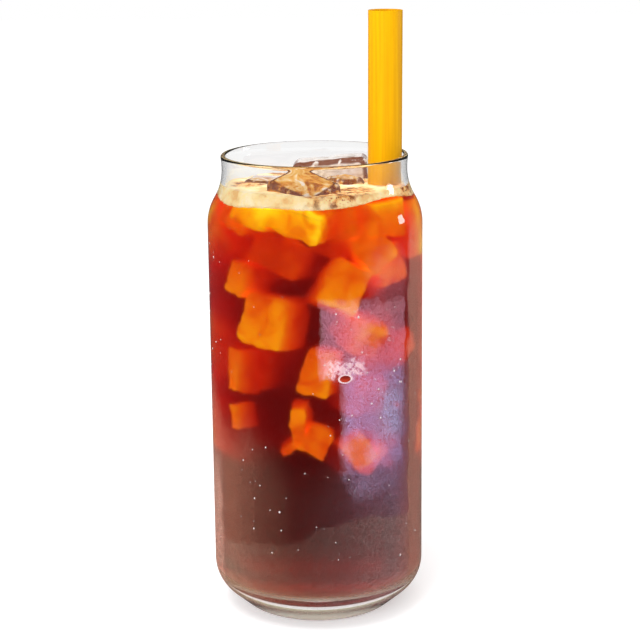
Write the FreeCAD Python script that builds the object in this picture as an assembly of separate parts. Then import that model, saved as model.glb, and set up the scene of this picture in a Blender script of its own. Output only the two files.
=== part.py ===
"""A tall can-shaped glass of iced americano with a wide straw, in millimetres.

The origin is the middle of the glass's foot, where it rests, +Z is up and -Y is the front.
Each piece is one solid: the glass, the coffee, the foam on it, the straw, and the ice cubes
that stand out of the surface. Ice that is wholly sunk is not modelled here.
"""

import FreeCAD, Part
import math
import os

V = FreeCAD.Vector

# ---- Driving dimensions, in millimetres and degrees ----

# The glass
glass_height = 165.0
body_radius = 38.0  # outside of the straight side
neck_inset = 5.4  # how far the neck, the narrowest place, stands in from the side
neck_depth = 5.0  # from the rim down to the narrowest place
rim_lean = 8.0  # how far the rim leans out, from upright
wall = 1.7
shoulder_height = 19.5  # from the straight side up to the neck
shoulder_radius = 18.0  # round of the shoulder, outside
heel_radius = 13.0  # round between the side and the heel's slope
heel_slope = 41.0  # rise of the heel, from level
foot_edge_radius = 6.0
foot_inset = 14.0  # how far the ring that it rests on stands in from the side
foot_ring_width = 3.5
underside_rise = 1.6  # hollow of the underside, at its middle
floor_height = 11.0  # top of the thick base
floor_corner_radius = 8.0

# The drink
level_depth = 12.0  # from the rim down to the liquid's level
foam_depth = 2.4  # how far the foam reaches below the liquid's level
foam_crown = 1.2  # how far it stands above it
foam_swell = 0.5  # height of the foam's gentle waves

# The straw
straw_radius = 6.0
straw_wall = 0.4
straw_length = 203.0
straw_foot_gap = 6.3  # from the straw to the glass's side, at its foot
straw_clearance = 0.15  # to the neck and to the floor

# The ice
ice_round = 2.2  # melted edges
ice_taper = 0.92  # width of a cube's upper end, over its lower
ice_clearance = 0.3  # from cube to cube, to the straw and to the glass

# Where the foam reaches deeper or less deep than foam_depth, at the wall:
# angle round the glass from +X, how much deeper, and how wide the place is
foam_sags = [(213.0, 1.4, 11.0), (268.0, 0.3, 10.0), (318.0, -2.2, 12.0), (352.0, 0.6, 8.0),
             (20.0, 1.0, 12.0), (75.0, -1.6, 14.0), (122.0, 0.9, 12.0), (165.0, -1.2, 12.0)]

# Where it stands higher or lower than foam_crown, in the same way
foam_rises = [(200.0, 0.6, 14.0), (250.0, 0.5, 12.0), (90.0, -0.8, 22.0)]

# The cubes that stand out: name, size, place of the middle from the glass's axis and
# from the liquid's level, and turn about Z, then Y, then X
ice_cubes = [
    ("ice_peak", (22.0, 18.0, 18.0), (-3.6, -16.2, -3.2), (-43.0, 0.0, 23.0)),
    ("ice_rear", (29.0, 14.0, 20.0), (6.5, 17.3, -2.2), (-3.0, -5.0, 0.0)),
    ("ice_left", (17.0, 16.0, 18.0), (-17.0, 8.0, -6.6), (-14.0, 3.0, 2.0)),
    ("ice_right", (12.5, 11.5, 13.0), (10.4, 1.8, -2.8), (-40.0, 3.0, 4.0)),
]

# ---- Worked out from the driving dimensions ----

inner_radius = body_radius - wall
neck_inner_radius = body_radius - neck_inset - wall
neck_height = glass_height - neck_depth
shoulder_start = neck_height - shoulder_height
shoulder_slope = 2 * math.degrees(math.atan(neck_inset / shoulder_height))  # from upright
neck_blend_radius = shoulder_height / math.sin(math.radians(shoulder_slope)) - shoulder_radius
lip_radius = wall / 2
lip_start = glass_height - lip_radius * (1 + math.sin(math.radians(rim_lean)))
rim_radius = (lip_start - neck_height) / math.sin(math.radians(rim_lean))
foot_radius = body_radius - foot_inset
ring_inside = foot_radius - foot_ring_width
level = glass_height - level_depth
straw_foot_offset = inner_radius - straw_foot_gap - straw_radius  # from the glass's axis
high = 2 * glass_height  # clear of everything
grid_reach = body_radius + 4  # half-width of the foam's surfaces
grid_points = 15


class Pen:
    """Draws a profile in the XZ plane, edge by edge, each tangent to the last."""

    def __init__(self, x, z, heading):
        self.x, self.z, self.heading = x, z, heading
        self.edges = []

    def line_to(self, x, z):
        self.edges.append(Part.LineSegment(V(self.x, 0, self.z), V(x, 0, z)).toShape())
        self.x, self.z = x, z

    def arc(self, radius, turn):
        """A round of that radius; a positive turn is anticlockwise."""
        side = 1 if turn > 0 else -1
        points = []
        for share in (0.0, 0.5, 1.0):
            angle = math.radians(self.heading + turn * share)
            start = math.radians(self.heading)
            points.append(V(self.x + side * radius * (math.sin(angle) - math.sin(start)), 0,
                            self.z - side * radius * (math.cos(angle) - math.cos(start))))
        self.edges.append(Part.Arc(*points).toShape())
        self.x, self.z = points[2].x, points[2].z
        self.heading += turn


def revolved(edges):
    face = Part.Face(Part.Wire(Part.__sortEdges__(edges)))
    return face.revolve(V(0, 0, 0), V(0, 0, 1), 360)


def draw_shoulder(pen, inset):
    """Side, shoulder, neck and rim of the outer profile, or inset from it by the wall."""
    pen.line_to(body_radius - inset, shoulder_start)
    pen.arc(shoulder_radius - inset, shoulder_slope)
    pen.arc(neck_blend_radius + inset, -shoulder_slope)
    pen.arc(rim_radius + inset, -rim_lean)


def outer_profile():
    """From the middle of the underside, round the foot and up to the lip."""
    pen = Pen(0, underside_rise, 0)
    hollow_radius = (ring_inside ** 2 + underside_rise ** 2) / (2 * underside_rise)
    hollow_angle = math.degrees(math.asin(ring_inside / hollow_radius))
    pen.arc(hollow_radius, -hollow_angle)
    pen.heading = 0
    pen.line_to(foot_radius, 0)
    pen.arc(foot_edge_radius, heel_slope)
    slope = math.radians(heel_slope)
    heel_start = body_radius - heel_radius * (1 - math.sin(slope))
    pen.line_to(heel_start, pen.z + (heel_start - pen.x) * math.tan(slope))
    pen.arc(heel_radius, 90 - heel_slope)
    draw_shoulder(pen, 0)
    return pen


def inner_profile(gap=0.0):
    """From the middle of the floor, up the inside of the wall to the lip, or a gap off it."""
    pen = Pen(0, floor_height + gap, 0)
    pen.line_to(inner_radius - floor_corner_radius, pen.z)
    pen.arc(floor_corner_radius - gap, 90)
    draw_shoulder(pen, wall + gap)
    return pen


def make_glass():
    """The tumbler: thick base, thin straight side, shoulder, neck and round lip."""
    outside = outer_profile()
    outside.arc(lip_radius, 180)
    inside = inner_profile()
    middle = Part.LineSegment(V(0, 0, underside_rise), V(0, 0, floor_height)).toShape()
    return revolved(outside.edges + inside.edges + [middle])


def make_inside(gap=0.0):
    """The space inside the glass, up to its lip, or that space with a gap to the wall."""
    pen = inner_profile(gap)
    pen.line_to(0, pen.z)
    pen.line_to(0, floor_height + gap)
    return revolved(pen.edges)


def straw_lean():
    """The lean that lays the straw on the neck, with its foot at its own offset."""
    touch = neck_inner_radius - straw_clearance - straw_radius
    return math.atan((touch - straw_foot_offset) / (neck_height - straw_foot_height()))


def straw_foot_height():
    """The straw stands on the floor, or on the round corner of it where it reaches that."""
    over = straw_foot_offset + straw_radius - (inner_radius - floor_corner_radius)
    climb = 0.0
    if over > 0:
        climb = floor_corner_radius - math.sqrt(floor_corner_radius ** 2 - over ** 2)
    return floor_height + climb + straw_clearance


def straw_rod(radius, length):
    """A solid rod on the straw's axis, from its foot up."""
    lean = straw_lean()
    foot = V(straw_foot_offset, 0, straw_foot_height())
    return Part.makeCylinder(radius, length, foot, V(math.sin(lean), 0, math.cos(lean)))


def make_straw():
    bore = straw_rod(straw_radius - straw_wall, straw_length)
    return straw_rod(straw_radius, straw_length).cut(bore)


def surface_above(height_at):
    """All the space above a smooth surface whose height is height_at(x, y)."""
    step = 2 * grid_reach / (grid_points - 1)
    places = [-grid_reach + step * i for i in range(grid_points)]
    surface = Part.BSplineSurface()
    surface.interpolate([[V(x, y, height_at(x, y)) for y in places] for x in places])
    return surface.toShape().extrude(V(0, 0, high))


def places_sum(places, x, y):
    """What the listed places at the wall add at x, y."""
    total = 0.0
    for angle, amount, width in places:
        turn = math.radians(angle)
        away = (x - inner_radius * math.cos(turn)) ** 2 + (y - inner_radius * math.sin(turn)) ** 2
        total += amount * math.exp(-away / width ** 2)
    return total


def foam_top(x, y):
    waves = math.sin(x / 5.5 + 0.6) * math.cos(y / 6.5 - 0.4) + 0.5 * math.sin((x + y) / 4.2)
    return level + foam_crown + foam_swell * waves / 1.5 + places_sum(foam_rises, x, y)


def foam_bottom(x, y):
    return level - foam_depth - places_sum(foam_sags, x, y)


def make_cube(size, place, turn):
    """One melted ice cube, a little narrower at one end, as it came from its tray."""
    width, depth, height = size
    rings = []
    for z, share in ((-height / 2, 1.0), (height / 2, ice_taper)):
        x, y = width * share / 2, depth * share / 2
        rings.append(Part.makePolygon([V(-x, -y, z), V(x, -y, z), V(x, y, z), V(-x, y, z),
                                       V(-x, -y, z)]))
    cube = Part.makeLoft(rings, True)
    cube = cube.makeFillet(ice_round, cube.Edges)
    for angle, axis in zip(turn, (V(0, 0, 1), V(0, 1, 0), V(1, 0, 0))):
        cube.rotate(V(0, 0, 0), axis, angle)
    cube.translate(V(place[0], place[1], level + place[2]))
    return cube


def make_ice():
    """The cubes that stand out of the surface, within the glass and clear of the straw."""
    room = make_inside(ice_clearance).cut(straw_rod(straw_radius + ice_clearance, straw_length))
    return {name: make_cube(size, place, turn).common(room)
            for name, size, place, turn in ice_cubes}


def make_drink(inside, ice):
    """The coffee and the foam on it, both cut round the ice and the straw."""
    over_coffee = surface_above(foam_bottom)
    over_foam = surface_above(foam_top)
    rod = straw_rod(straw_radius, straw_length)
    foam = inside.common(over_coffee).cut(over_foam)
    coffee = inside.cut(over_coffee)
    for piece in [rod] + list(ice.values()):
        foam = foam.cut(piece)
        coffee = coffee.cut(piece)
    column_length = (level - straw_foot_height()) / math.cos(straw_lean())
    coffee = coffee.fuse(straw_rod(straw_radius - straw_wall, column_length))
    return coffee, foam


def main():
    inside = make_inside()
    ice = make_ice()
    coffee, foam = make_drink(inside, ice)
    pieces = {"glass": make_glass(), "coffee": coffee, "foam": foam, "straw": make_straw()}
    pieces.update(ice)
    os.makedirs("parts", exist_ok=True)
    for name, shape in pieces.items():
        print(name, "solids", len(shape.Solids), "valid", shape.isValid(),
              "volume %.1f cm3" % (shape.Volume / 1000),
              "z %.1f..%.1f" % (shape.BoundBox.ZMin, shape.BoundBox.ZMax))
        shape.exportStep("parts/" + name + ".step")


main()
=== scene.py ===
"""The looks of a tall glass of iced americano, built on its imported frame.

Metres, +Z up, -Y to the front. Every piece is spun, cut or moulded where the frame says, and
none of the frame's own parts is moved.
"""

import math
import random

import bpy
from mathutils import Matrix, Quaternion, Vector


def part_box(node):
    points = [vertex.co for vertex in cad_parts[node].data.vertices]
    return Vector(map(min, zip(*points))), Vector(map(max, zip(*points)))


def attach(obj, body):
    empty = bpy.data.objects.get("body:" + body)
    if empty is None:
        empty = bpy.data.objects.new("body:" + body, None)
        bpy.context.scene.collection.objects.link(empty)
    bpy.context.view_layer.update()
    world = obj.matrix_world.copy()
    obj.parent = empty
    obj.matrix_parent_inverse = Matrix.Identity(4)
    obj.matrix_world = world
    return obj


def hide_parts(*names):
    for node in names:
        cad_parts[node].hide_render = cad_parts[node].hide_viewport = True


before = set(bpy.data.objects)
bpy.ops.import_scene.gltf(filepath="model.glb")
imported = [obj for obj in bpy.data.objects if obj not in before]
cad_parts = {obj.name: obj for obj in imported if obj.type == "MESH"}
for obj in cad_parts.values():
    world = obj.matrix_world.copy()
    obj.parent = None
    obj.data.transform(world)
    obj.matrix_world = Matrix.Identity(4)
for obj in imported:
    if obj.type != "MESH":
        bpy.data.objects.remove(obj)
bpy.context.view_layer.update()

MM = 0.001

# ---- Sizes: the overall ones from the frame, the rest the tumbler's own ----

GLASS_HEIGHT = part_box("glass")[1].z
BODY_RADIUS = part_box("glass")[1].x
WALL = 1.7 * MM
NECK_INSET = 5.4 * MM
NECK_DEPTH = 5.0 * MM
SHOULDER_HEIGHT = 19.5 * MM
SHOULDER_RADIUS = 18.0 * MM
RIM_LEAN = 8.0
HEEL_RADIUS = 13.0 * MM
HEEL_SLOPE = 41.0
FOOT_EDGE_RADIUS = 6.0 * MM
FOOT_INSET = 14.0 * MM
FOOT_RING = 3.5 * MM
UNDERSIDE_RISE = 1.6 * MM
FLOOR_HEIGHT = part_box("coffee")[0].z
FLOOR_CORNER = 8.0 * MM
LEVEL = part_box("coffee")[1].z
BITE = 0.008 * MM  # how far the drink and the foam reach into the wall
GLASS_IOR = 1.5
COFFEE_IOR = 1.33
ICE_GAP = 1.6 * MM  # coffee between the wall and the nearest ice
ICE_COVER = 3.2 * MM  # coffee over the highest sunk ice
CORE_REACH = 18  # how far from the axis the clear places are, in millimetres
CUBE_MELT = 3.0 * MM  # how round a sunk cube's edges are
CUBE_WORN = 1.1 * MM  # how uneven its faces are
ICE_VOXEL = 0.45 * MM  # how fine the meshes of the ice that stands out and of the foam are
FOAM_VOXEL = 0.4 * MM
EDGE_SPREAD = 6  # how often the marks of a cube's edges are spread to the places beside them
STRAW_WALL = 0.4 * MM
DROP_ANGLE = 14.8  # the one big drop, from the front
DROP_HEIGHT = 92.8 * MM
DROP_WIDTH = 1.9 * MM  # from its middle to its side
DROP_TALL = 1.2 * MM
DROP_PROUD = 0.7 * MM
DEW_GAP = 0.015 * MM  # from the wall to the film
DEW_DEPTH = 0.035 * MM
DEW_BOTTOM = 4.5 * MM
DEW_TOP = 150.0 * MM

COFFEE_TINT = (0.9856, 0.905, 0.0, 1)
COFFEE_DENSITY = 2500.0
SUNK_ICE_PAINTED_GLOW = 0.76  # painted glow: stands in for the light that ice and foam scatter inside
FOAM_PAINTED_GLOW = 0.5

SPIN_STEPS = 160
BEAD_SEED = 5
ICE_SEED = 11
CAMERA_PLACE = (0, -0.626, 0.256)
CAMERA_TARGET = (0.0014, 0, 0.1047)
CAMERA_LENS = 101
CAMERA_ROLL = 0.6  # degrees, clockwise as the camera sees it
SEEN_IN_GLOSS = 0.07  # how bright the surroundings look in a mirror

# ---- Worked out ----

INNER_RADIUS = BODY_RADIUS - WALL
NECK_HEIGHT = GLASS_HEIGHT - NECK_DEPTH
SHOULDER_START = NECK_HEIGHT - SHOULDER_HEIGHT
SHOULDER_SLOPE = 2 * math.degrees(math.atan(NECK_INSET / SHOULDER_HEIGHT))
NECK_BLEND = SHOULDER_HEIGHT / math.sin(math.radians(SHOULDER_SLOPE)) - SHOULDER_RADIUS
LIP_RADIUS = WALL / 2
LIP_START = GLASS_HEIGHT - LIP_RADIUS * (1 + math.sin(math.radians(RIM_LEAN)))
RIM_RADIUS = (LIP_START - NECK_HEIGHT) / math.sin(math.radians(RIM_LEAN))


# ---- Ways of working ----

def deselect():
    if bpy.context.object and bpy.context.object.mode != "OBJECT":
        bpy.ops.object.mode_set(mode="OBJECT")
    bpy.ops.object.select_all(action="DESELECT")


def take(piece):
    """Makes the piece the only selected one."""
    deselect()
    bpy.context.view_layer.objects.active = piece
    piece.select_set(True)
    return piece


def settle(piece, name=None):
    """Puts the piece's place into its mesh, with its object at the origin."""
    take(piece)
    bpy.ops.object.transform_apply(location=True, rotation=True, scale=True)
    if name:
        piece.name = name
        piece.data.name = name
    return piece


def smooth(piece, angle=None):
    take(piece)
    if angle is None:
        bpy.ops.object.shade_smooth()
    else:
        bpy.ops.object.shade_smooth_by_angle(angle=math.radians(angle))
    return piece


def add_modifier(piece, kind, **settings):
    """Adds a modifier and applies it at once."""
    take(piece)
    modifier = piece.modifiers.new(kind.lower(), kind)
    for key, value in settings.items():
        setattr(modifier, key, value)
    bpy.ops.object.modifier_apply(modifier=modifier.name)
    return piece


def clouds(size, depth):
    """A cloud texture, for pushing a surface in and out."""
    texture = bpy.data.textures.new("clouds_%g" % size, "CLOUDS")
    texture.noise_scale = size
    texture.noise_depth = depth
    return texture


def push(piece, size, strength, depth=1):
    """Pushes the surface in and out by noise of that size."""
    return add_modifier(piece, "DISPLACE", texture=clouds(size, depth), strength=strength,
                        direction="NORMAL", texture_coords="GLOBAL")


def copy_of(piece, name):
    double = piece.copy()
    double.data = piece.data.copy()
    double.name = name
    double.data.name = name
    bpy.context.scene.collection.objects.link(double)
    return double


def join(pieces, name):
    """Joins the pieces into the first one, under that name."""
    deselect()
    for piece in pieces:
        piece.select_set(True)
    bpy.context.view_layer.objects.active = pieces[0]
    bpy.ops.object.join()
    pieces[0].name = name
    pieces[0].data.name = name
    return pieces[0]


class Outline:
    """A profile in the XZ plane, drawn point by point, each stretch tangent to the last."""

    def __init__(self, x, z, heading=0.0):
        self.points = [(x, z)]
        self.heading = heading

    def line_to(self, x, z, steps=1):
        x0, z0 = self.points[-1]
        for i in range(1, steps + 1):
            share = i / steps
            self.points.append((x0 + (x - x0) * share, z0 + (z - z0) * share))

    def arc(self, radius, turn, steps):
        """A round of that radius; a positive turn is anticlockwise."""
        x0, z0 = self.points[-1]
        side = 1 if turn > 0 else -1
        start = math.radians(self.heading)
        for i in range(1, steps + 1):
            angle = start + math.radians(turn) * i / steps
            self.points.append((x0 + side * radius * (math.sin(angle) - math.sin(start)),
                                z0 - side * radius * (math.cos(angle) - math.cos(start))))
        self.heading += turn


def lathe(name, points, steps=SPIN_STEPS):
    """Spins an outline round the glass's axis into a closed piece."""
    deselect()
    bpy.ops.mesh.primitive_plane_add(size=MM, location=(points[0][0], 0, points[0][1]))
    piece = bpy.context.object
    bpy.ops.object.mode_set(mode="EDIT")
    bpy.ops.mesh.select_mode(type="VERT")
    bpy.ops.mesh.select_all(action="SELECT")
    bpy.ops.mesh.merge(type="CENTER")
    for (x0, z0), (x1, z1) in zip(points, points[1:]):
        bpy.ops.mesh.extrude_region_move(
            TRANSFORM_OT_translate={"value": (x1 - x0, 0, z1 - z0)})
    bpy.ops.mesh.select_all(action="SELECT")
    bpy.ops.mesh.spin(steps=steps, angle=2 * math.pi, center=(0, 0, 0), axis=(0, 0, 1))
    bpy.ops.mesh.remove_doubles(threshold=0.001 * MM)
    bpy.ops.mesh.normals_make_consistent(inside=False)
    bpy.ops.object.mode_set(mode="OBJECT")
    settle(piece, name)
    return smooth(piece)


# ---- The tumbler and the drink ----

def draw_side(outline, inset, top):
    """Side, shoulder, neck and, where top is the lip, the flare of the rim."""
    outline.line_to(BODY_RADIUS - inset, SHOULDER_START, 40)
    outline.arc(SHOULDER_RADIUS - inset, SHOULDER_SLOPE, 14)
    outline.arc(NECK_BLEND + inset, -SHOULDER_SLOPE, 14)
    outline.arc(RIM_RADIUS + inset, -RIM_LEAN, 6)
    if top < LIP_START:
        outline.points = [p for p in outline.points if p[1] < top]


def outer_outline():
    """The outside, from the middle of the foot to where the lip begins."""
    ring_inside = BODY_RADIUS - FOOT_INSET - FOOT_RING
    hollow = (ring_inside ** 2 + UNDERSIDE_RISE ** 2) / (2 * UNDERSIDE_RISE)
    outline = Outline(0, UNDERSIDE_RISE)
    outline.arc(hollow, -math.degrees(math.asin(ring_inside / hollow)), 12)
    outline.heading = 0
    outline.line_to(BODY_RADIUS - FOOT_INSET, 0, 4)
    outline.arc(FOOT_EDGE_RADIUS, HEEL_SLOPE, 8)
    slope = math.radians(HEEL_SLOPE)
    heel_start = BODY_RADIUS - HEEL_RADIUS * (1 - math.sin(slope))
    x, z = outline.points[-1]
    outline.line_to(heel_start, z + (heel_start - x) * math.tan(slope), 6)
    outline.arc(HEEL_RADIUS, 90 - HEEL_SLOPE, 14)
    draw_side(outline, 0, GLASS_HEIGHT)
    return outline


def make_tumbler():
    """The whole glass in one outline: the outside, the lip, and the inside back to the axis."""
    outline = outer_outline()
    outline.arc(LIP_RADIUS, 180, 12)
    inside = Outline(0, FLOOR_HEIGHT)
    inside.line_to(INNER_RADIUS - FLOOR_CORNER, FLOOR_HEIGHT, 12)
    inside.arc(FLOOR_CORNER, 90, 14)
    draw_side(inside, WALL, GLASS_HEIGHT)
    return lathe("tumbler", outline.points + inside.points[::-1][1:])


def inner_outline(gap, top):
    """The inside of the wall, with a gap to it, up to a height."""
    outline = Outline(0, FLOOR_HEIGHT + gap)
    outline.line_to(INNER_RADIUS - FLOOR_CORNER, FLOOR_HEIGHT + gap, 12)
    outline.arc(FLOOR_CORNER - gap, 90, 14)
    draw_side(outline, WALL + gap, top)
    return outline


def make_drink():
    """The coffee up to its level, a touch into the wall, so that no air shows between."""
    outline = inner_outline(-BITE, LEVEL)
    x = outline.points[-1][0]
    outline.line_to(x - 0.3 * MM, LEVEL, 2)
    outline.line_to(0, LEVEL, 12)
    return lathe("drink", outline.points)


def beside(points, gap):
    """The same outline a little further out."""
    moved = []
    for before, here, after in zip(points[:1] + points, points, points[1:] + points[-1:]):
        along = Vector((after[0] - before[0], after[1] - before[1])).normalized()
        moved.append((here[0] + gap * along.y, here[1] - gap * along.x))
    return moved


def make_dew():
    """The film of fine dew on the outside of the wall, where the drink has chilled it."""
    wall = [point for point in outer_outline().points if DEW_BOTTOM < point[1] < DEW_TOP]
    outside, inside = beside(wall, DEW_GAP + DEW_DEPTH), beside(wall, DEW_GAP)
    return lathe("dew", outside + inside[::-1] + outside[:1])


def bead(name, angle, height, wide, tall, proud, rings=3):
    """A drop of water lying on the wall."""
    deselect()
    bpy.ops.mesh.primitive_ico_sphere_add(subdivisions=rings, radius=1)
    drop = bpy.context.object
    drop.name = name
    drop.scale = (wide, proud, tall)
    turn = math.radians(angle)
    drop.location = (BODY_RADIUS * math.sin(turn), -BODY_RADIUS * math.cos(turn), height)
    drop.rotation_euler = (0, 0, turn)
    settle(drop)
    return smooth(drop)


# Where beads gather: angles from and to, heights from and to, how many
BEADS = [(4, 52, 72, 118, 70), (-50, 50, 22, 70, 34), (54, 80, 30, 130, 26),
         (100, 300, 20, 135, 90), (-70, 0, 75, 135, 12)]


def make_beads():
    """Small beads of water on the wall, modelled once and copied."""
    draw = random.Random(BEAD_SEED)
    model = bead("bead", 0, 0, MM, MM, MM, rings=2)
    model.data.transform(Matrix.Translation((0, BODY_RADIUS, 0)))
    drops = []
    for left, right, low, high, count in BEADS:
        for _ in range(count):
            size = 0.15 + 0.24 * draw.random() ** 3  # in millimetres, most of them small
            turn = math.radians(draw.uniform(left, right))
            drop = copy_of(model, "bead")
            drop.scale = (size, size * 0.5, size * draw.uniform(0.9, 1.3))
            drop.rotation_euler = (0, 0, turn)
            drop.location = (BODY_RADIUS * math.sin(turn), -BODY_RADIUS * math.cos(turn),
                             draw.uniform(low, high) * MM)
            drops.append(settle(drop))
    bpy.data.objects.remove(model)
    return smooth(join(drops, "dew_beads"))


# ---- Ice ----

def make_cube_model():
    """One ice cube of unit size, a little narrower at its top, cut finely so that its faces can be
    worn later.
    """
    deselect()
    bpy.ops.mesh.primitive_cube_add(size=1)
    cube = bpy.context.object
    bpy.ops.object.mode_set(mode="EDIT")
    bpy.ops.mesh.select_mode(type="FACE")
    bpy.ops.mesh.select_all(action="DESELECT")
    bpy.ops.object.mode_set(mode="OBJECT")
    for face in cube.data.polygons:
        face.select = face.normal.z > 0.9
    bpy.ops.object.mode_set(mode="EDIT")
    bpy.ops.transform.resize(value=(0.9, 0.9, 1))
    bpy.ops.mesh.select_all(action="SELECT")
    bpy.ops.mesh.subdivide(number_cuts=7)
    bpy.ops.object.mode_set(mode="OBJECT")
    return cube


def melted_cube(model, size, place, turn):
    """A copy of the cube model at its size and place, melted round at its edges."""
    cube = copy_of(model, "sunk")
    cube.scale = [side * MM for side in size]
    settle(cube)
    add_modifier(cube, "BEVEL", width=CUBE_MELT, segments=4, limit_method="ANGLE",
                 angle_limit=math.radians(40))
    cube.location = place
    about_z, about_y, about_x = (math.radians(angle) for angle in turn)
    cube.rotation_mode = "ZYX"
    cube.rotation_euler = (about_x, about_y, about_z)
    settle(cube)
    push(cube, 9 * MM, CUBE_WORN * 2.2)
    push(cube, 4 * MM, CUBE_WORN * 1.5)
    push(cube, 2 * MM, CUBE_WORN * 0.4)
    return smooth(cube)


# Sunk cubes near the wall: angle from the front, + to the right, height and distance from
# the axis in millimetres, size, and turn about Z, Y and X
SUNK = [
    (-35, 110, 23.0, (17, 17, 18), (-36, 9, 0)),
    (-13, 146.5, 23.5, (23, 18, 10), (-22, 14, 8)),
    (-42, 148, 23.0, (17, 17, 12), (-50, 10, 4)),
    (-64, 146, 21.0, (14, 15, 13), (-60, 14, 4)),
    (-57, 124, 24.0, (8, 14, 11.5), (-55, 14, 8)),
    (-60, 91, 26.2, (5, 10, 15), (-62, 3, 0)),
    (-60, 74.5, 26.2, (4, 10, 9), (-62, -8, 0)),
    (4, 93, 23.0, (10, 14, 16), (-16, 12, -4)),
    (-12, 74, 24.0, (5, 12, 15), (-12, -4, 10)),
    (-17, 67.5, 23.0, (12, 8, 2.6), (-16, -42, 4)),
    (-2, 68.5, 24.0, (10, 10, 10), (4, 28, 0)),
    (30, 64, 23.5, (9, 13, 11), (24, -30, 14)),
    (44, 61, 21.5, (5, 12, 12), (38, 40, 10)),
    (43, 135, 22.5, (12, 15, 14), (34, -30, 16)),
    (53, 146, 23.5, (17, 14, 13), (50, 8, 0)),
    (56, 128, 22.5, (12, 14, 14), (52, -12, 0)),
    (19, 122, 22.5, (14, 17, 16), (20, 24, -20)),
    (35, 106, 23.0, (12, 15, 12), (40, 34, 16)),
    (58, 98, 15.0, (14, 16, 15), (60, 16, 12)),
    (16, 141, 14.5, (16, 16, 13), (10, 30, 8)),
    (46, 84, 15.5, (13, 16, 14), (46, 20, 12)),
    (-60, 94, 14.0, (12, 16, 18), (-50, 12, 8)),
    (-30, 134, 15.0, (18, 18, 15), (-34, 20, 8)),
]

# Stacks of cubes further in and at the far side, five to a layer: how many layers, the first
# angle, the angle between cubes, the turn of every other layer and how much it varies,
# the least and most distance from the axis, the lowest layer, its step up and how much it varies
STACKS = [(6, 0, 72, 36, 10, 12, 15, 64, 15.5, 3),
          (5, 100, 38, 15, 8, 22, 25, 62, 19, 4)]

# Places where the coffee is clear of ice far in: angle, height and how wide, in millimetres
CLEAR_PLACES = [(-92, 82, 14), (-75, 106, 14), (-24, 88, 20), (-22, 72, 19), (-18, 121, 15),
                (-6, 110, 13), (0, 60, 14)]


def at(angle, reach, height):
    """A place by its angle from the front, + to the right, and millimetres."""
    way = math.radians(angle)
    return Vector((reach * math.sin(way), -reach * math.cos(way), height)) * MM


def in_clear_place(place):
    """Whether a cube there would fill one of the places where the coffee is clear."""
    return any((place - at(angle, CORE_REACH, height)).length < reach * MM
               for angle, height, reach in CLEAR_PLACES)


def make_sunk_ice():
    """The cubes near the wall at the front, and the stacks behind them, kept off the wall."""
    model = make_cube_model()
    cubes = [melted_cube(model, size, at(angle, reach, height), turn)
             for angle, height, reach, size, turn in SUNK]
    draw = random.Random(ICE_SEED)
    for layers, first, step, shift, sway, near, far, lowest, rise, lift in STACKS:
        for layer in range(layers):
            for number in range(5):
                angle = first + step * number + shift * (layer % 2) + draw.uniform(-sway, sway)
                reach = draw.uniform(near, far)
                height = lowest + rise * layer + draw.uniform(-lift, lift)
                size = [draw.uniform(16, 20) for _ in range(3)]
                turn = [draw.uniform(-45, 45) for _ in range(3)]
                place = at(angle, reach, height)
                if not in_clear_place(place):
                    cubes.append(melted_cube(model, size, place, turn))
    bpy.data.objects.remove(model)
    ice = join(cubes, "sunk_ice")
    top = LEVEL - ICE_COVER
    room = lathe("ice_room", inner_outline(ICE_GAP, top).points + [(0, top)], 96)
    add_modifier(ice, "SHRINKWRAP", target=room, wrap_method="NEAREST_SURFACEPOINT",
                 wrap_mode="INSIDE")
    bpy.data.objects.remove(room)
    return smooth(ice)


def merged_copy(part, name):
    """A copy of one of the frame's nodes as one merged mesh."""
    piece = copy_of(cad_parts[part], name)
    piece.parent = None
    for key in list(piece.keys()):
        if key.startswith("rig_"):
            del piece[key]
    take(piece)
    bpy.ops.object.mode_set(mode="EDIT")
    bpy.ops.mesh.select_all(action="SELECT")
    bpy.ops.mesh.remove_doubles(threshold=0.002 * MM)
    bpy.ops.object.mode_set(mode="OBJECT")
    return piece


def make_top_ice(part):
    """A cube that stands out of the surface, with its faces melted uneven."""
    cube = merged_copy(part, part + "_melted")
    add_modifier(cube, "REMESH", mode="VOXEL", voxel_size=ICE_VOXEL)
    mark_edges(cube)
    push(cube, 8 * MM, 1.0 * MM)
    push(cube, 3 * MM, 0.25 * MM)
    return smooth(cube)


def mark_edges(piece):
    """Keeps how sharply the surface turns, from 0 to 1, as the piece's own attribute."""
    mesh = piece.data
    nearby = [[] for _ in mesh.vertices]
    for edge in mesh.edges:
        first, second = edge.vertices
        nearby[first].append(second)
        nearby[second].append(first)
    turns = []
    for vertex, others in zip(mesh.vertices, nearby):
        away = sum(1 - vertex.normal.dot(mesh.vertices[i].normal) for i in others)
        turns.append(away / max(1, len(others)))
    for _ in range(EDGE_SPREAD):
        turns = [(turn + sum(turns[i] for i in others)) / (1 + len(others))
                 for turn, others in zip(turns, nearby)]
    most = sorted(turns)[int(0.97 * len(turns))]
    marks = mesh.attributes.new("edge", "FLOAT", "POINT")
    marks.data.foreach_set("value", [min(1.0, turn / most) for turn in turns])


# ---- Foam and straw ----

def make_foam():
    """The foam with its edges worn round, swollen a little and uneven."""
    foam = merged_copy("foam", "foam_layer")
    add_modifier(foam, "REMESH", mode="VOXEL", voxel_size=FOAM_VOXEL)
    add_modifier(foam, "SMOOTH", factor=0.5, iterations=3)
    add_modifier(foam, "DISPLACE", strength=0.3 * MM, mid_level=0.0, direction="NORMAL")
    push(foam, 1.6 * MM, 0.35 * MM, depth=2)
    return smooth(foam)


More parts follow.
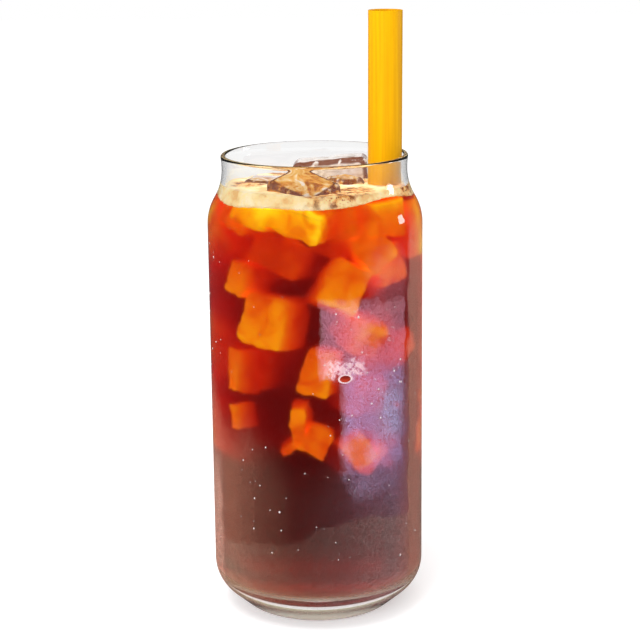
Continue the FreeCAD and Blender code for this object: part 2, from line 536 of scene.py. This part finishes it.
def make_straw():
    """A thin-walled tube with a round lip, from where it stands to its upper end."""
    low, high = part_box("straw")
    radius = (high.y - low.y) / 2
    foot = Vector((low.x + radius, 0, low.z))
    head = Vector((high.x - radius, 0, high.z))
    length = (head - foot).length
    lip = STRAW_WALL / 2
    outline = Outline(radius - STRAW_WALL, 0)
    outline.line_to(radius, 0)
    outline.line_to(radius, length - lip, 12)
    outline.heading = 90
    outline.arc(lip, 180, 6)
    outline.line_to(radius - STRAW_WALL, 0, 12)
    straw = lathe("straw_tube", outline.points, 72)
    straw.location = foot
    straw.rotation_euler = (0, math.atan2(head.x - foot.x, head.z - foot.z), 0)
    settle(straw)
    return smooth(straw, 35)


# ---- Materials ----

def new_material(name, values=None):
    """A material whose shader has those plain values, with its node tree and shader."""
    material = bpy.data.materials.new(name)
    material.use_nodes = True
    tree = material.node_tree
    shader = tree.nodes["Principled BSDF"]
    for key, value in (values or {}).items():
        shader.inputs[key].default_value = value
    return material, tree, shader


def node(tree, kind, values=None, **settings):
    """Adds a shader node; a value is a number or another node's output."""
    new = tree.nodes.new("ShaderNode" + kind)
    for key, value in settings.items():
        setattr(new, key, value)
    for key, value in (values or {}).items():
        if isinstance(value, bpy.types.NodeSocket):
            tree.links.new(value, new.inputs[key])
        else:
            new.inputs[key].default_value = value
    return new


def maths(tree, operation, *values):
    return node(tree, "Math", dict(enumerate(values)), operation=operation).outputs[0]


def blend(tree, share, first, second, kind="RGBA"):
    """From the first value or colour to the second by the share."""
    a, b, out = (6, 7, 2) if kind == "RGBA" else (2, 3, 0)
    mix = node(tree, "Mix", {0: share, a: first, b: second}, data_type=kind)
    return mix.outputs[out]


def step_up(tree, value, low, high):
    """0 below low and 1 above high, smooth between them."""
    values = {"Value": value, "From Min": low, "From Max": high}
    return node(tree, "MapRange", values, interpolation_type="SMOOTHSTEP").outputs[0]


def ramp(tree, share, stops):
    """A colour by the share, from stops of share and colour or grey."""
    band = node(tree, "ValToRGB", {0: share})
    elements = band.color_ramp.elements
    elements[0].position = stops[0][0]
    elements[1].position = stops[-1][0]
    for place, _ in stops[1:-1]:
        elements.new(place)
    for element, (_, colour) in zip(elements, stops):
        element.color = (colour,) * 3 + (1,) if isinstance(colour, float) else colour + (1,)
    return band.outputs[0]


def object_place(tree):
    return node(tree, "TexCoord").outputs["Object"]


def noise(tree, size, place=None, detail=2.0, **values):
    """Noise whose lumps are about that size, in metres."""
    values = {"Vector": place or object_place(tree), "Scale": 1 / size, "Detail": detail, **values}
    return node(tree, "TexNoise", values).outputs[0]


def cells(tree, size):
    """How far it is to the middle of the nearest cell, of cells about that size."""
    values = {"Vector": object_place(tree), "Scale": 1 / size}
    return node(tree, "TexVoronoi", values).outputs["Distance"]


def new_group(name, inputs, outputs):
    """A node group with those sockets, what it is given, and where its results go."""
    group = bpy.data.node_groups.new(name, "ShaderNodeTree")
    for direction, sockets in (("INPUT", inputs), ("OUTPUT", outputs)):
        for label in sockets:
            group.interface.new_socket(label, in_out=direction, socket_type="NodeSocketFloat")
    given = group.nodes.new("NodeGroupInput").outputs
    return group, given, group.nodes.new("NodeGroupOutput")


def round_the_glass():
    """Angle from the front, + to the right, the same as a share of the turn, and height."""
    group, _, out = new_group("round_the_glass", [], ["Angle", "Share", "Height"])
    parts = node(group, "SeparateXYZ", {0: object_place(group)}).outputs
    turn = maths(group, "ARCTAN2", parts["X"], maths(group, "MULTIPLY", parts["Y"], -1))
    angle = maths(group, "DEGREES", turn)
    group.links.new(angle, out.inputs["Angle"])
    group.links.new(maths(group, "MULTIPLY_ADD", angle, 1 / 360, 0.5), out.inputs["Share"])
    group.links.new(maths(group, "MULTIPLY", parts["Z"], 1000), out.inputs["Height"])
    return group


def patch_group():
    """A patch of the wall between two angles and two heights, with soft borders."""
    group, given, out = new_group("patch", [
        "Angle", "Height", "From", "To", "Bottom", "Top", "Side Blur", "Height Blur"], ["Mask"])

    def past(value, border, blur):
        half = maths(group, "MULTIPLY", blur, 0.5)
        return step_up(group, value, maths(group, "SUBTRACT", border, half),
                       maths(group, "ADD", border, half))

    def between(value, low, high, blur):
        above = past(value, low, blur)
        return maths(group, "SUBTRACT", above, past(value, high, blur))

    across = between(given["Angle"], given["From"], given["To"], given["Side Blur"])
    upright = between(given["Height"], given["Bottom"], given["Top"], given["Height Blur"])
    group.links.new(maths(group, "MULTIPLY", across, upright), out.inputs["Mask"])
    return group


def clear(name, ior, roughness=0.0):
    """A clear, colourless material that bends light by its ior."""
    return new_material(name, {"Base Color": (1, 1, 1, 1), "Roughness": roughness, "IOR": ior,
                               "Transmission Weight": 1.0})


def wet_the_wall(tumbler):
    """The inside below the drink's level bends light as glass against coffee does."""
    wet_glass, _, _ = clear("wet_glass", GLASS_IOR / COFFEE_IOR, roughness=0.5)
    tumbler.data.materials.append(wet_glass)
    for face in tumbler.data.polygons:
        middle, normal = face.center, face.normal
        inward = normal.x * middle.x + normal.y * middle.y < 0 or normal.z > 0.9
        if inward and FLOOR_HEIGHT - 0.1 * MM < middle.z < LEVEL:
            face.material_index = 1


def coffee():
    """Dark red where it is deep; the wet wall bends its light, so its own face doesn't."""
    material, tree, _ = clear("coffee", 1.0)
    absorb = node(tree, "VolumeAbsorption", {"Color": COFFEE_TINT, "Density": COFFEE_DENSITY})
    tree.links.new(absorb.outputs["Volume"], tree.nodes["Material Output"].inputs["Volume"])
    return material


def sunk_ice():
    """Cloudy ice, redder in places, with a painted glow, and painted shade that darkens the cubes
    further in.
    """
    material, tree, shader = new_material("sunk_ice", {"Roughness": 0.6,
                                                       "Emission Strength": SUNK_ICE_PAINTED_GLOW})
    cloudy = noise(tree, 7 * MM, detail=3.0, Distortion=0.6)
    cloudy = ramp(tree, cloudy, [(0.34, (0.80, 0.42, 0.3)), (0.46, (0.90, 0.74, 0.6)),
                                 (0.56, (0.93, 0.93, 0.9)), (0.70, (1.0, 1.0, 1.0))])
    # painted shade: the cubes further in are darker, as less light reaches them
    aside = node(tree, "VectorMath", {0: object_place(tree), 1: (1, 1, 0)}, operation="MULTIPLY")
    reach = node(tree, "VectorMath", {0: aside.outputs[0]}, operation="LENGTH").outputs["Value"]
    painted_shade = maths(tree, "MULTIPLY_ADD", step_up(tree, reach, 14 * MM, 29 * MM), 0.5, 0.5)
    tone_and_painted_shade = node(tree, "VectorMath", {0: cloudy, "Scale": painted_shade}, operation="SCALE").outputs[0]
    tree.links.new(tone_and_painted_shade, shader.inputs["Base Color"])
    tree.links.new(tone_and_painted_shade, shader.inputs["Emission Color"])
    return material


def top_ice():
    """Clear ice stained amber by the coffee, with painted glints in its palest streaks, whiter at
    the back, brown along its edges.
    """
    material, tree, shader = new_material("top_ice", {"IOR": 1.31, "Transmission Weight": 0.25})
    streaks = noise(tree, 6 * MM, detail=2.5, Distortion=1.6)
    # amber streaks; the palest, near white, are partly painted glints
    amber = ramp(tree, streaks, [(0.34, (0.48, 0.15, 0.02)), (0.42, (0.78, 0.34, 0.05)),
                                 (0.50, (0.92, 0.54, 0.14)), (0.57, (0.97, 0.72, 0.35)),
                                 (0.64, (1.0, 0.93, 0.80))])
    white = ramp(tree, streaks, [(0.34, (0.62, 0.55, 0.50)), (0.5, (0.90, 0.86, 0.82)),
                                 (0.7, (1.0, 0.99, 0.98))])
    back = node(tree, "SeparateXYZ", {0: object_place(tree)}).outputs["Y"]
    body = blend(tree, step_up(tree, back, 5 * MM, 11 * MM), amber, white)
    edge = node(tree, "Attribute", attribute_name="edge").outputs["Fac"]
    worn = noise(tree, 2.5 * MM, detail=3.0)
    edge = maths(tree, "MULTIPLY", step_up(tree, edge, 0.3, 0.62),
                 step_up(tree, worn, 0.3, 0.46))
    colour = blend(tree, maths(tree, "MULTIPLY", edge, 0.92), body, (0.17, 0.035, 0.006, 1))
    rough = maths(tree, "MULTIPLY_ADD", streaks, 0.3, 0.02)
    tree.links.new(colour, shader.inputs["Base Color"])
    tree.links.new(rough, shader.inputs["Roughness"])
    return material


# Where the foam is thin and brown: place on the surface and how wide, in millimetres
THIN_FOAM = [(7, -24, 9), (12, -19, 8), (0, -29, 4), (27.5, -9, 6), (-23, -3, 6),
             (14, 14, 12), (-8, 24, 9)]


def foam():
    """Cream-coloured foam of fine bubbles, golden and specked where it is thin, with a painted
    glow.
    """
    material, tree, shader = new_material("foam", {"Specular IOR Level": 0.35,
                                                   "Emission Strength": FOAM_PAINTED_GLOW})
    parts = node(tree, "SeparateXYZ", {0: object_place(tree)}).outputs
    ragged = noise(tree, 3 * MM, detail=4.0)
    thin = 0.0
    level = node(tree, "CombineXYZ", {0: parts["X"], 1: parts["Y"]}).outputs[0]
    for x, y, reach in THIN_FOAM:
        away = node(tree, "VectorMath", {0: (x * MM, y * MM, 0), 1: level},
                    operation="DISTANCE").outputs["Value"]
        away = maths(tree, "MULTIPLY_ADD", ragged, 7 * MM, away)
        thin = maths(tree, "MAXIMUM", thin,
                     step_up(tree, away, (reach + 5) * MM, (reach + 1) * MM))
    lumps = noise(tree, 5 * MM, detail=3.0)
    cream = ramp(tree, lumps, [(0.36, (0.80, 0.50, 0.20)), (0.46, (0.92, 0.69, 0.33)),
                               (0.56, (0.96, 0.78, 0.42)), (0.68, (0.98, 0.86, 0.56))])
    golden = ramp(tree, ragged, [(0.40, (0.26, 0.07, 0.012)), (0.47, (0.62, 0.25, 0.06)),
                                 (0.55, (0.87, 0.50, 0.17)), (0.66, (0.95, 0.70, 0.33))])
    colour = blend(tree, thin, cream, golden)
    specks = maths(tree, "MULTIPLY", step_up(tree, cells(tree, 1.1 * MM), 0.42, 0.22),
                   step_up(tree, noise(tree, 3 * MM), 0.45, 0.53))
    specks = maths(tree, "MULTIPLY", specks, maths(tree, "MULTIPLY_ADD", thin, 0.9, 0.08))
    colour = blend(tree, specks, colour, (0.20, 0.045, 0.008, 1))
    bump = node(tree, "Bump", {"Height": cells(tree, 0.9 * MM), "Distance": 0.25 * MM,
                               "Strength": 0.5})
    rough = maths(tree, "MULTIPLY_ADD", lumps, 0.4, 0.3)
    tree.links.new(colour, shader.inputs["Base Color"])
    # painted glow: the foam gives off light in its own colours
    tree.links.new(colour, shader.inputs["Emission Color"])
    tree.links.new(rough, shader.inputs["Roughness"])
    tree.links.new(bump.outputs[0], shader.inputs["Normal"])
    return material


def straw():
    """Yellow, with faint streaks along its length."""
    material, tree, shader = new_material("straw", {"Roughness": 0.45, "Specular IOR Level": 0.1})
    drawn_out = node(tree, "VectorMath", {0: object_place(tree), 1: (1, 1, 0.02)},
                     operation="MULTIPLY").outputs[0]
    streaks = noise(tree, 1 * MM, drawn_out)
    colour = ramp(tree, streaks, [(0.35, (0.76, 0.35, 0.0)), (0.65, (0.83, 0.42, 0.0))])
    tree.links.new(colour, shader.inputs["Base Color"])
    return material


# How the fine dew changes round the wall: the angle, and its colour or density there; the colour
# is painted light
DEW_PAINTED_LIGHT_COLOUR = [(-180, (1.0, 0.55, 0.4)), (-60, (1.0, 0.47, 0.3)), (-20, (0.9, 0.55, 0.38)),
              (0, (0.65, 0.62, 0.62)), (15, (0.75, 0.6, 0.72)), (45, (0.8, 0.58, 0.75)),
              (62, (0.98, 0.56, 0.56)), (180, (1.0, 0.55, 0.45))]
DEW_DENSITY = [(-180, 0.09), (-110, 0.1), (-55, 0.10), (-42, 0.062), (-31, 0.032), (-21, 0.018),
               (-12, 0.006), (-3, 0.008), (6, 0.012), (14, 0.018), (24, 0.035), (34, 0.052),
               (45, 0.075), (59, 0.09), (100, 0.09), (180, 0.09)]
# The line under which it lies and the wavy one under which it is thicker: the angle, and the
# height there in millimetres
DEW_LINE = [(-180, 80), (-75, 84), (-60, 70), (-52, 68), (-40, 72), (-30, 67), (-21, 62),
            (-12, 57), (-3, 56), (5, 60), (15, 66), (30, 80), (60, 100), (180, 80)]
WAVY_LINE = [(-180, 36), (-140, 42), (-100, 34), (-68, 27), (-39, 31.5), (-20, 32.6), (-9, 35),
             (1, 39.3), (15, 41.7), (29, 41.8), (50, 39.6), (90, 36), (130, 42), (180, 36)]
# Patches of dew, whose colours are painted light: angles from and to, heights from and to, blurs,
# colour and density
FOG_AND_PAINTED_LIGHT = [
    (-120, -62, 8, 62, 14, 34, (1.0, 0.55, 0.42), 0.26),
    (17, 52, 48, 74, 14, 14, (0.78, 0.60, 0.95), 0.10),
    (1.5, 53.5, 94, 119, 2.5, 6, (1.0, 0.52, 0.74), 0.13),
    (13.5, 52, 58, 97, 7, 12, (0.70, 0.55, 1.0), 0.19),
    (33, 52, 68, 88, 14, 10, (0.62, 0.62, 1.0), 0.26),
    (30, 54, 112, 134, 14, 14, (1.0, 0.50, 0.62), 0.06),
    (57, 112, 10, 142, 4, 16, (0.95, 0.62, 0.48), 0.14),
]
# Places that the dew leaves almost clear, and the wet smear round the big drop, painted bright as
# a glare
CLEARINGS = [(27, 39, 103, 111, 6, 5), (-6, 11, 66, 86, 8, 8), (16, 28, 60, 72, 7, 6)]
SMEAR_AND_PAINTED_GLARE = (5, 25, 93.5, 99, 6, 3)


def from_the_drop(tree, place):
    """How far it is from the middle of the big drop, 1 all along its rim."""
    aside = maths(tree, "MULTIPLY", maths(tree, "SUBTRACT", place["Angle"], DROP_ANGLE),
                  math.radians(BODY_RADIUS / DROP_WIDTH))
    above = maths(tree, "MULTIPLY", maths(tree, "SUBTRACT", place["Height"], DROP_HEIGHT / MM),
                  MM / DROP_TALL)
    return maths(tree, "SQRT", maths(tree, "MULTIPLY_ADD", aside, aside,
                                     maths(tree, "MULTIPLY", above, above)))


def dew():
    """Fine dew, clear high up and thick low down, with painted light: its colours, its thicker
    patches where the light falls on it, a glare and a shine round the big drop.
    """
    material, tree, shader = new_material("dew", {"Roughness": 0.8, "Specular IOR Level": 0.0})
    place = node(tree, "Group", node_tree=round_the_glass()).outputs
    patch = patch_group()
    wander = noise(tree, 9 * MM, detail=3.0)
    ragged = noise(tree, 2.2 * MM, detail=4.0)

    def stray(value, bumps, reach):
        """The value, led astray by the noise."""
        return maths(tree, "MULTIPLY_ADD", maths(tree, "SUBTRACT", bumps, 0.5), reach, value)

    def mask_of(left, right, bottom, top, side_blur, height_blur):
        values = {"Angle": angle, "Height": height, "From": left, "To": right, "Bottom": bottom,
                  "Top": top, "Side Blur": side_blur, "Height Blur": height_blur}
        return node(tree, "Group", values, node_tree=patch).outputs["Mask"]

    def by_angle(stops):
        return ramp(tree, place["Share"], [((turn + 180) / 360, value) for turn, value in stops])

    def under(line, height, none, full):
        """From 0 to 1 between those two heights over the line."""
        line = by_angle([(turn, high / 100) for turn, high in line])
        return step_up(tree, maths(tree, "MULTIPLY_ADD", line, -100, height), none, full)

    angle = stray(stray(place["Angle"], wander, 9), ragged, 3)
    height = stray(place["Height"], ragged, 7)
    density = maths(tree, "MULTIPLY", by_angle(DEW_DENSITY), under(DEW_LINE, height, 10, -12))
    low = under(WAVY_LINE, stray(place["Height"], wander, 3), 1.2, -1.2)
    # painted light: the dew's colour round the wall, paler under the wavy line
    colour = blend(tree, maths(tree, "MULTIPLY", low, 0.5), by_angle(DEW_PAINTED_LIGHT_COLOUR),
                   (1.0, 0.74, 0.54, 1))
    density = maths(tree, "MULTIPLY_ADD", low, 0.018, density)
    # each patch thickens the dew and tints it with painted light
    for *borders, painted_light_tint, weight in FOG_AND_PAINTED_LIGHT:
        mask = mask_of(*borders)
        colour = blend(tree, mask, colour, painted_light_tint + (1,))
        density = maths(tree, "MAXIMUM", density, maths(tree, "MULTIPLY", mask, weight))
    for borders in CLEARINGS:
        density = maths(tree, "MULTIPLY", density,
                        maths(tree, "MULTIPLY_ADD", mask_of(*borders), -0.8, 1))
    foot = maths(tree, "MULTIPLY", step_up(tree, place["Height"], 26, 13),
                 step_up(tree, place["Height"], 5, 9))
    density = maths(tree, "MULTIPLY_ADD", foot, 0.018, maths(
        tree, "MULTIPLY", density, step_up(tree, place["Height"], 4.5, 9)))
    grain = node(tree, "MapRange", {"Value": cells(tree, 0.5 * MM), "From Min": 0.2,
                                    "From Max": 0.9, "To Min": 2.35, "To Max": 0.5}).outputs[0]
    density = maths(tree, "MULTIPLY", density, grain)
    # painted glare: a pale pink-white smear, thick, by the big drop
    smear_and_glare = maths(tree, "MULTIPLY", mask_of(*SMEAR_AND_PAINTED_GLARE),
                  step_up(tree, noise(tree, 1.5 * MM, detail=4.0), 0.34, 0.56))
    colour = blend(tree, smear_and_glare, colour, (1.0, 0.80, 0.88, 1))
    density = blend(tree, smear_and_glare, density, 0.62, kind="FLOAT")
    # round the one big drop a painted highlight rings the wet wall, and under it the dew is gone
    away = from_the_drop(tree, place)
    painted_shine_ring = maths(tree, "MULTIPLY", step_up(tree, away, 0.8, 1.0), step_up(tree, away, 1.5, 1.2))
    colour = blend(tree, painted_shine_ring, colour, (1.0, 0.86, 0.90, 1))
    density = blend(tree, painted_shine_ring, density, 0.75, kind="FLOAT")
    density = maths(tree, "MULTIPLY", density, step_up(tree, away, 0.6, 0.95))
    # seen through both faces of the film
    one_face = maths(tree, "SUBTRACT", 1, maths(tree, "SQRT", maths(tree, "SUBTRACT", 1, density)))
    tree.links.new(colour, shader.inputs["Base Color"])
    tree.links.new(one_face, shader.inputs["Alpha"])
    return material


def bead_water_painted_glint():
    # painted glints: the beads are whitish and partly opaque, standing for the light they catch
    values = {"Base Color": (0.84, 0.78, 0.77, 1), "Roughness": 0.15, "Alpha": 0.75}
    return new_material("bead_water_painted_glint", values)[0]


def drop_water():
    """The big drop gathers the dark red of the drink behind it."""
    material, tree, shader = new_material("drop_water", {"Roughness": 0.08})
    height = node(tree, "SeparateXYZ", {0: object_place(tree)}).outputs["Z"]
    low = step_up(tree, height, DROP_HEIGHT + DROP_TALL, DROP_HEIGHT - DROP_TALL)
    colour = blend(tree, low, (0.16, 0.006, 0.004, 1), (0.55, 0.05, 0.02, 1))
    tree.links.new(colour, shader.inputs["Base Color"])
    return material


def dress(piece, material, slot, *nodes):
    """Gives a finished piece its material and its body, and hides the nodes it stands for; the
    slot is not used.
    """
    piece.data.materials.clear()
    piece.data.materials.append(material)
    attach(piece, "root")
    if nodes:
        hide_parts(*nodes)


tumbler = make_tumbler()
dress(tumbler, clear("clear_glass", GLASS_IOR)[0], "clear_glass", "glass")
wet_the_wall(tumbler)
dress(make_drink(), coffee(), "coffee", "coffee")
dress(make_sunk_ice(), sunk_ice(), "ice")
ice_material = top_ice()
for cube in ("ice_peak", "ice_rear", "ice_left", "ice_right"):
    dress(make_top_ice(cube), ice_material, "ice", cube)
dress(make_dew(), dew(), "clear_glass")
dress(make_beads(), bead_water_painted_glint(), "clear_glass")
dress(bead("big_drop", DROP_ANGLE, DROP_HEIGHT, DROP_WIDTH, DROP_TALL, DROP_PROUD),
      drop_water(), "clear_glass")
dress(make_foam(), foam(), "foam", "foam")
dress(make_straw(), straw(), "straw", "straw")


# ---- Floor, lamps, world and camera ----

def by_ray(tree, ray, yes, no):
    """One look for that kind of ray and another for the rest."""
    share = node(tree, "LightPath").outputs[ray]
    return node(tree, "MixShader", {0: share, 1: no, 2: yes}).outputs[0]


def make_floor():
    """White to the camera and through the glass, and dark where the glass mirrors it."""
    deselect()
    bpy.ops.mesh.primitive_plane_add(size=6, location=(0, 0, 0))
    floor = settle(bpy.context.object, "floor")
    material, tree, shader = new_material("floor", {
        "Base Color": (0.9, 0.9, 0.9, 1), "Roughness": 0.9, "Specular IOR Level": 0.0})

    def plain(strength):
        return node(tree, "Emission", {"Strength": strength}).outputs[0]

    lifted = node(tree, "AddShader", {0: shader.outputs[0], 1: plain(0.42)}).outputs[0]
    seen = by_ray(tree, "Is Camera Ray", lifted, shader.outputs[0])
    reflected = by_ray(tree, "Is Glossy Ray", plain(SEEN_IN_GLOSS), seen)
    bounced = by_ray(tree, "Glossy Depth", plain(0.8), plain(0.95))
    through = by_ray(tree, "Is Transmission Ray", bounced, reflected)
    tree.links.new(through, tree.nodes["Material Output"].inputs["Surface"])
    floor.data.materials.append(material)


def make_world():
    """The same as the floor's looks, and a soft light all round."""
    world = bpy.data.worlds.new("studio")
    bpy.context.scene.world = world
    world.use_nodes = True
    tree = world.node_tree
    tree.nodes.clear()

    def plain(strength):
        return node(tree, "Background", {"Color": (1, 1, 1, 1), "Strength": strength}).outputs[0]

    reflected = by_ray(tree, "Is Glossy Ray", plain(SEEN_IN_GLOSS), plain(0.7))
    through = by_ray(tree, "Is Transmission Ray", plain(1.0), reflected)
    seen = by_ray(tree, "Is Camera Ray", plain(1.0), through)
    node(tree, "OutputWorld", {"Surface": seen})


def softbox(name, place, target, width, height, power, reflected=True):
    """A lamp that faces its target; where it isn't reflected, glass doesn't show it."""
    lamp = bpy.data.lights.new(name, "AREA")
    lamp.shape = "RECTANGLE"
    lamp.size, lamp.size_y = width, height
    lamp.energy = power
    thing = bpy.data.objects.new(name, lamp)
    bpy.context.scene.collection.objects.link(thing)
    thing.location = place
    way = Vector(target) - Vector(place)
    thing.rotation_euler = way.to_track_quat("-Z", "Y").to_euler()
    thing.visible_glossy = reflected
    thing.visible_transmission = reflected


def make_camera():
    data = bpy.data.cameras.new("camera")
    data.sensor_width = 36
    data.lens = CAMERA_LENS
    camera = bpy.data.objects.new("camera", data)
    bpy.context.scene.collection.objects.link(camera)
    camera.location = CAMERA_PLACE
    aim = (Vector(CAMERA_TARGET) - Vector(CAMERA_PLACE)).to_track_quat("-Z", "Y")
    roll = Quaternion((0, 0, 1), math.radians(-CAMERA_ROLL))
    camera.rotation_euler = (aim @ roll).to_euler()
    data.clip_start = 0.01
    bpy.context.scene.camera = camera


make_floor()
make_world()
softbox("key", (-0.25, -0.3, 0.98), (0, 0, 0.1), 0.5, 0.5, 4, reflected=False)
softbox("fill", (-0.5, -1.2, 0.5), (0, 0, 0.12), 0.8, 0.8, 9, reflected=False)
softbox("window", (0.98, 0.25, 0.28), (0.03, -0.02, 0.147), 0.16, 0.2, 0.9)
make_camera()
bpy.context.scene.view_settings.view_transform = "Standard"
